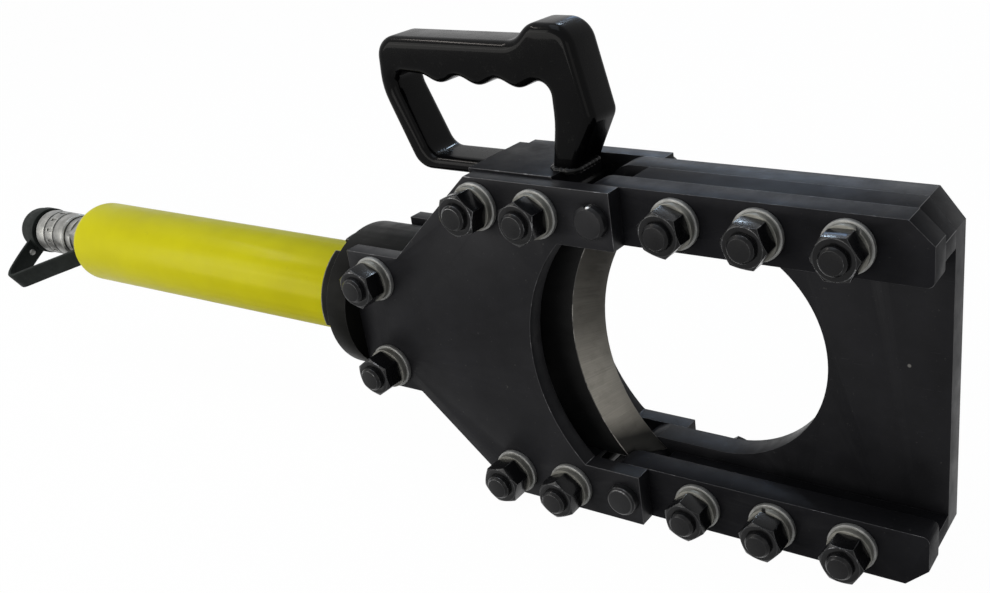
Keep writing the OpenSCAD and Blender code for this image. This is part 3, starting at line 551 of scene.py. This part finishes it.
def inset(path, d):
    """The outline drawn in by d, less at the lower bar and not at all where it is welded down."""
    out = []
    n = len(path)
    for i in range(n):
        p, q, s = path[i - 1], path[i], path[(i + 1) % n]
        a, b = (q - p).normalized(), (s - q).normalized()
        na, nb = Vector((a.y, -a.x)), Vector((b.y, -b.x))
        e, c = d * edge_share(q.y), na.dot(nb)
        da, db = 0 if seated(p, q) else e, 0 if seated(q, s) else e
        if da == db:
            out.append(q + e * (na + nb) / (1 + c) if da else q.copy())
        else:
            out.append(q + ((da - db * c) * na + (db - da * c) * nb) / (1 - c * c))
    return out


# The handle's measures in mm: heights over the cylinder's axis, the bar's end along x, thickness, half its
# width, the hump's rise, and its rounded edges, which are rounder than the source's
TOP, GRIP, UNDER = 111.5, 184.5, 162.0
BLOCK_X = -93.0
BAR_T, HALF_W, HUMP = 9.5, 15.0, 11.0
EDGE, BAR_EDGE, EDGE_RISE, EDGE_STEPS = 6.0, 4.3, 20, 8
# The finger grooves: how far apart, how deep, where the first starts, points for each and how many
PITCH, WAVE, WAVE_START, WAVE_STEPS, FINGERS = 29.0, 4.5, -44.9, 16, 3
wave = [(WAVE_START - i * PITCH / WAVE_STEPS, UNDER - WAVE / 2 * (1 - math.cos(math.tau * i / WAVE_STEPS)), 0)
        for i in range(WAVE_STEPS * FINGERS + 1)]
handle_corners = [
    (BLOCK_X, TOP - BAR_T, 0), (-143, TOP - BAR_T, 14), (-164, 152, 40), (-161.5, GRIP, 14), (-59, GRIP, 16),
    (-47, GRIP + HUMP, 14), (-20, GRIP + HUMP, 15), (-8, 142, 9), (-24, TOP, 0), (-41, TOP, 0),
    (-36.5, 140, 60), (-36.5, UNDER, 8), *wave, (-151, UNDER + 1, 6), (-150, 152, 12), (-133, TOP, 10),
    (BLOCK_X, TOP, 0),
]


def skin(bm, rings):
    """Faces between each closed ring of vertices and the next."""
    m = len(rings[0])
    for a, b in zip(rings, rings[1:]):
        for k in range(m):
            bm.faces.new((a[k], a[(k + 1) % m], b[(k + 1) % m], b[k]))


def smooth_piece(name, bm, mat, sharp=None):
    """A smooth object from a bmesh that this script built."""
    bmesh.ops.recalc_face_normals(bm, faces=bm.faces)
    for f in bm.faces:
        f.smooth = True
    return mesh_object(name, bm, mat, sharp=sharp)


def build_handle():
    """The closed loop: the outline drawn in towards both flat sides, so that its edges are round."""
    path = rounded(handle_corners)
    quarter = [math.pi / 2 * i / EDGE_STEPS for i in range(EDGE_STEPS + 1)]
    sections = [(-HALF_W + EDGE * (1 - math.cos(a)), EDGE * (1 - math.sin(a))) for a in quarter]
    sections += [(HALF_W - EDGE * (1 - math.cos(a)), EDGE * (1 - math.sin(a))) for a in reversed(quarter)]
    bm = bmesh.new()
    rings = [[bm.verts.new(P(p.x, y, p.y)) for p in inset(path, d)] for y, d in sections]
    skin(bm, rings)
    n = len(path)
    for ring in (rings[0], rings[-1]):
        edges = [bm.edges.get((ring[i], ring[(i + 1) % n])) for i in range(n)]
        bmesh.ops.triangle_fill(bm, edges=edges, use_beauty=True)
    return smooth_piece("handle_shape", bm, handle_mat, sharp=38)


handle = build_handle()
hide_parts("handle")
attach(handle, "tool")


BEAD_SIDES, BEAD_STEP, BEAD_END = 10, 1.1, 0.55
RIPPLE, RIPPLE_TURN, RIPPLE_CHANCE = 0.22, 1.9, 0.4


def tube(name, points, radius, mat):
    """A bead along points at one height, with weld ripples and thinner ends."""
    bm = bmesh.new()
    rings = []
    n = len(points)
    for i, p in enumerate(points):
        a = points[max(i - 1, 0)]
        b = points[min(i + 1, n - 1)]
        t = (b - a).normalized()
        side = t.cross(Vector((0, 0, 1)))
        side.normalize()
        up = side.cross(t).normalized()
        chance = random.uniform(-RIPPLE_CHANCE, RIPPLE_CHANCE)
        r = radius * (1 + RIPPLE * math.sin(i * RIPPLE_TURN) + RIPPLE * chance)
        if i in (0, n - 1):
            r *= BEAD_END
        turns = [math.tau * k / BEAD_SIDES for k in range(BEAD_SIDES)]
        rings.append([bm.verts.new(p + side * (r * math.cos(g)) + up * (r * math.sin(g))) for g in turns])
    skin(bm, rings)
    bm.faces.new(rings[0][::-1])
    bm.faces.new(rings[-1])
    return smooth_piece(name, bm, mat)


def straight(a, b):
    """Even points from a to b, both included."""
    count = max(2, int((b - a).length * 1000 / BEAD_STEP))
    return [a.lerp(b, i / count) for i in range(count + 1)]


def bead(name, corners, radius):
    """A weld bead through the corners."""
    pts = []
    for a, b in zip(corners, corners[1:]):
        pts += straight(a, b)[:-1]
    pts.append(corners[-1])
    o = tube(name, pts, radius, weld_mat)
    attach(o, "tool")


LEG_FOOT = ((-41.3, 11), (-41.3, -11), (-38, -14.9), (-27.5, -14.9), (-24, -11), (-24, 11))
bead("weld_leg", [P(x, y, TOP) for x, y in LEG_FOOT], 0.0020)


# Strap of the dust cap
TILT = math.radians(60)
STRAP_W, STRAP_T = 16.0, 2.6
RING_X, RING_T, RING_SIDES = -531.5, 3.0, 64
STRAP_POINTS, STRAP_CORNER, STUB_CORNER = 90, 0.7, 0.6
SPLINE_STEPS, CORNER_STEPS = 20, 3


def strap_plane(x, z, across):
    """A point of the strap's own tilted plane, given along x, up z and across, as a point of the frame."""
    cos, sin = math.cos(TILT), math.sin(TILT)
    return P(x, across * cos + z * sin, -across * sin + z * cos)


def spline(points, count):
    """An even, smooth line through the points."""
    fine = []
    n = len(points)
    for i in range(n - 1):
        p0 = points[max(i - 1, 0)]
        p1, p2 = points[i], points[i + 1]
        p3 = points[min(i + 2, n - 1)]
        for k in range(SPLINE_STEPS):
            t = k / SPLINE_STEPS
            fine.append(0.5 * ((2 * p1) + (p2 - p0) * t + (2 * p0 - 5 * p1 + 4 * p2 - p3) * t * t
                               + (3 * p1 - p0 - 3 * p2 + p3) * t ** 3))
    fine.append(points[-1])
    run = [0.0]
    for a, b in zip(fine, fine[1:]):
        run.append(run[-1] + (b - a).length)
    out, j = [], 0
    for i in range(count):
        s = run[-1] * i / (count - 1)
        while j < len(run) - 2 and run[j + 1] < s:
            j += 1
        k = (s - run[j]) / max(1e-9, run[j + 1] - run[j])
        out.append(fine[j].lerp(fine[j + 1], k))
    return out


def strip(bm, line, width, thick, corner):
    """A flat band with rounded corners along a line in the strap's plane."""
    w, h = width / 2, thick / 2
    section = []
    for sx, sy, a0 in ((1, 1, 0), (-1, 1, 90), (-1, -1, 180), (1, -1, 270)):
        for k in range(CORNER_STEPS + 1):
            ang = math.radians(a0 + 90 / CORNER_STEPS * k)
            section.append((sx * (w - corner) + corner * math.cos(ang),
                            sy * (h - corner) + corner * math.sin(ang)))
    rings = []
    for i, p in enumerate(line):
        a, b = line[max(i - 1, 0)], line[min(i + 1, len(line) - 1)]
        t = (b - a).normalized()
        nrm = Vector((-t.y, t.x))
        rings.append([bm.verts.new(strap_plane(p.x + nrm.x * v, p.y + nrm.y * v, u)) for u, v in section])
    skin(bm, rings)
    bm.faces.new(rings[0][::-1])
    bm.faces.new(rings[-1])


def build_strap():
    """The band from the cap to the ring, the stub that joins them, and the ring itself."""
    keys = [Vector(v) for v in ((-594.5, -17.4), (-594.2, -22), (-592.6, -32), (-590.4, -42), (-588.3, -48.5),
                                (-585.2, -52.6), (-581.5, -53.3), (-576, -50), (-562, -40), (-546, -29),
                                (-536, -22), (-530, -17.4))]
    bm = bmesh.new()
    strip(bm, spline(keys, STRAP_POINTS), STRAP_W, STRAP_T, STRAP_CORNER)
    x0, x1 = RING_X, RING_X + RING_T
    mid = (x0 + x1) / 2
    stub = [Vector((mid, z)) for z in (-12.2, -15, -17.8, -19.0)]
    strip(bm, stub, STRAP_W, RING_T, STUB_CORNER)
    profile = ((x0 + 0.1, 10.9), (x1 - 0.1, 10.9), (x1, 11.4), (x1, 17.4), (x1 - 0.5, 18.0), (x0 + 0.5, 18.0),
               (x0, 17.4), (x0, 11.4))
    ring = []
    for i in range(RING_SIDES):
        g = math.tau * i / RING_SIDES
        ring.append([bm.verts.new(P(x, r * math.sin(g), r * math.cos(g))) for x, r in profile])
    skin(bm, ring + ring[:1])
    return smooth_piece("strap_shape", bm, cap_mat, sharp=50)


strap = build_strap()
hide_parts("cap_strap")
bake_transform(strap)


LATHE_SIDES, LATHE_SHARP = 48, 35


def lathe(name, profile, axis_point, direction, mat):
    """A turned piece that ends in a point: profile is (distance along the direction, radius) in mm."""
    q = Vector((0, 0, 1)).rotation_difference(Vector(direction))
    bm = bmesh.new()
    rings = []
    for h, r in profile:
        if r == 0:
            rings.append([bm.verts.new(axis_point + q @ Vector((0, 0, h / 1000)))])
            continue
        turns = [math.tau * i / LATHE_SIDES for i in range(LATHE_SIDES)]
        rings.append([bm.verts.new(axis_point + q @ Vector((r / 1000 * math.cos(g), r / 1000 * math.sin(g),
                                                            h / 1000))) for g in turns])
    skin(bm, rings[:-1])
    last, tip = rings[-2], rings[-1][0]
    for i in range(LATHE_SIDES):
        bm.faces.new((last[i], last[(i + 1) % LATHE_SIDES], tip))
    return smooth_piece(name, bm, mat, sharp=LATHE_SHARP)


rivet = lathe("strap_rivet", [(-0.6, 2.6), (0.6, 2.6), (1.1, 2.1), (1.35, 1.2), (1.4, 0)],
              strap_plane(-592.6, -24.5, 0), (1, 0, 0), coupler_mat)
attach(rivet, "cap")

# Floor, backdrop and light
FLOOR_GLOW, FLOOR_SHARE = 1.02, 0.965
FLOOR_HALF, FLOOR_GAP = 12, 0.0004
WORLD_LIGHT, WORLD_COLOR = 0.16, (0.80, 0.86, 1.0, 1)
WHITE = (1, 1, 1, 1)


def background_rays(tree):
    """1 for the rays that show the background: the camera's, mirrored ones and those through glass."""
    rays = tree.nodes.new("ShaderNodeLightPath").outputs
    shown = rays["Is Camera Ray"]
    for kind in ("Is Glossy Ray", "Is Transmission Ray"):
        n = tree.nodes.new("ShaderNodeMath")
        n.operation = "MAXIMUM"
        tree.links.new(shown, n.inputs[0])
        tree.links.new(rays[kind], n.inputs[1])
        shown = n.outputs[0]
    return shown


f = Nodes("floor_white")
f.set("Base Color", (0.44, 0.44, 0.44))
f.set("Roughness", 0.9)
f.set("Specular IOR Level", 0.1)
emit = f.t.nodes.new("ShaderNodeEmission")
emit.inputs["Color"].default_value = WHITE
emit.inputs["Strength"].default_value = FLOOR_GLOW
blend = f.t.nodes.new("ShaderNodeMixShader")
f.link(f.math("MULTIPLY", background_rays(f.t), FLOOR_SHARE), blend.inputs[0])
f.link(f.bsdf.outputs[0], blend.inputs[1])
f.link(emit.outputs[0], blend.inputs[2])
f.link(blend.outputs[0], f.out.inputs[0])
bm = bmesh.new()
bmesh.ops.create_grid(bm, x_segments=2, y_segments=2, size=FLOOR_HALF)
floor = mesh_object("floor", bm, f.mat)
floor.location = (0, 0, -FLOOR_GAP)

world = bpy.data.worlds.new("studio")
scene.world = world
world.use_nodes = True
wt = world.node_tree
wt.nodes.clear()
wo = wt.nodes.new("ShaderNodeOutputWorld")
seen = wt.nodes.new("ShaderNodeBackground")
seen.inputs[0].default_value = WHITE
seen.inputs[1].default_value = 1.0
lit = wt.nodes.new("ShaderNodeBackground")
lit.inputs[0].default_value = WORLD_COLOR
lit.inputs[1].default_value = WORLD_LIGHT
wm = wt.nodes.new("ShaderNodeMixShader")
wt.links.new(background_rays(wt), wm.inputs[0])
wt.links.new(lit.outputs[0], wm.inputs[1])
wt.links.new(seen.outputs[0], wm.inputs[2])
wt.links.new(wm.outputs[0], wo.inputs[0])


def area(name, place, target, size, power, color):
    """A rectangular light at a place, turned towards its target, with sizes in metres and power in watts."""
    data = bpy.data.lights.new(name, "AREA")
    data.shape = "RECTANGLE"
    data.size, data.size_y = size
    data.energy = power
    data.color = color
    o = bpy.data.objects.new(name, data)
    scene.collection.objects.link(o)
    o.location = place
    o.rotation_mode = "QUATERNION"
    o.rotation_quaternion = (Vector(target) - Vector(place)).to_track_quat("-Z", "Y")


area("light_back", (-0.67, 2.0, 1.06), (0.3, 0, 0.22), (0.55, 0.2), 1.9, (0.34, 0.58, 1.0))
area("light_top", (-0.2, -0.1, 2.0), (0.1, 0, 0.1), (1.4, 1.0), 11.5, (0.80, 0.89, 1.0))
area("light_key", (-1.4, -1.5, 1.2), (0.0, 0, 0.1), (0.8, 0.8), 8, (1.0, 0.985, 0.94))
area("light_fill", (1.6, -1.6, 0.6), (0.2, 0, 0.1), (1.0, 1.0), 3, (1.0, 0.97, 0.93))
area("light_low", (-0.7, -1.5, 0.44), (-0.2, 0, 0.1), (1.9, 0.8), 16.5, (1.0, 0.98, 0.94))
area("light_edge", (-1.06, -0.37, 1.61), (0.1, 0, 0.28), (0.8, 0.08), 5.0, (1.0, 0.93, 0.87))
area("light_hump", (-0.5, 1.63, 1.62), (0.16, 0, 0.3), (0.22, 0.10), 5.5, (0.66, 0.82, 1.0))

scene.view_settings.view_transform = "Standard"
